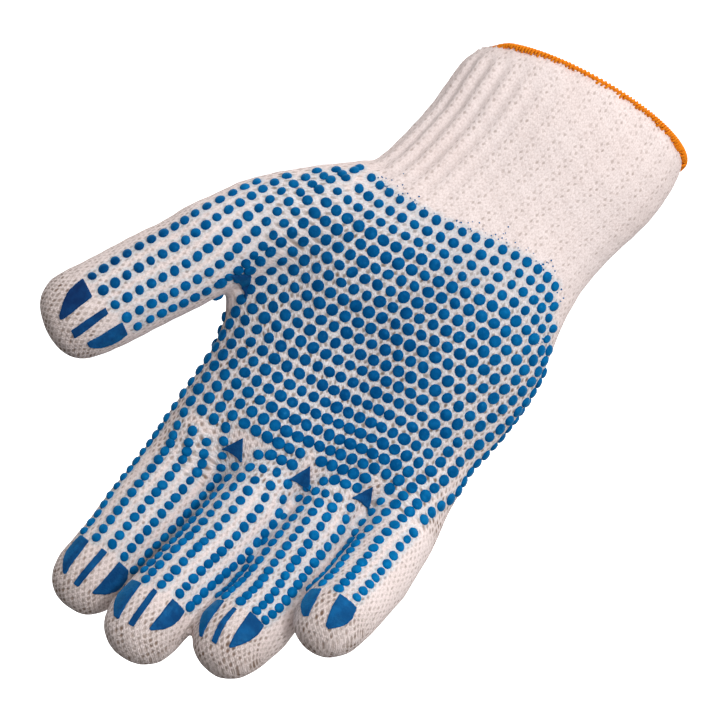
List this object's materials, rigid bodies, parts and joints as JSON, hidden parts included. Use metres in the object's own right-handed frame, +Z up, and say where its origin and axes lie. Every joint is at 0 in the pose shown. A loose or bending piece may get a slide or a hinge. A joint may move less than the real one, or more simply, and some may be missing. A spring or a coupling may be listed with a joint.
{
  "type": "dotted knit glove",
  "caption": "seamless knit work glove in its worn shape, with gripping dots printed on the palm side, printed fingertips and crotches, and an overlocked cuff edge; right hand",
  "frame": {"origin": "the centre of the cuff's mouth, where the wrist enters", "axes": "+Z up, out of the cuff's mouth and away from the fingers; the palm faces -Y and the thumb is at -X"},
  "size_m": [0.1543, 0.0787, 0.2423],
  "materials": {
    "cotton_knit": "off-white cotton, matte, plain seamless knit",
    "orange_yarn": "orange overlock yarn, matte",
    "blue_pvc": "blue soft PVC print, half gloss"
  },
  "bodies": {
    "root": {"cuff": "cotton_knit", "palm": "cotton_knit", "thumb": "cotton_knit", "index_finger": "cotton_knit", "middle_finger": "cotton_knit", "ring_finger": "cotton_knit", "little_finger": "cotton_knit", "cuff_edging": "orange_yarn", "thumb_crotch_print": "blue_pvc", "index_crotch_print": "blue_pvc", "middle_crotch_print": "blue_pvc", "ring_crotch_print": "blue_pvc", "thumb_print_left": "blue_pvc", "thumb_print_bar": "blue_pvc", "thumb_print_right": "blue_pvc", "index_finger_print_left": "blue_pvc", "index_finger_print_bar": "blue_pvc", "index_finger_print_right": "blue_pvc", "middle_finger_print_left": "blue_pvc", "middle_finger_print_bar": "blue_pvc", "middle_finger_print_right": "blue_pvc", "ring_finger_print_left": "blue_pvc", "ring_finger_print_bar": "blue_pvc", "ring_finger_print_right": "blue_pvc", "little_finger_print_left": "blue_pvc", "little_finger_print_right": "blue_pvc"}
  },
  "joints": []
}
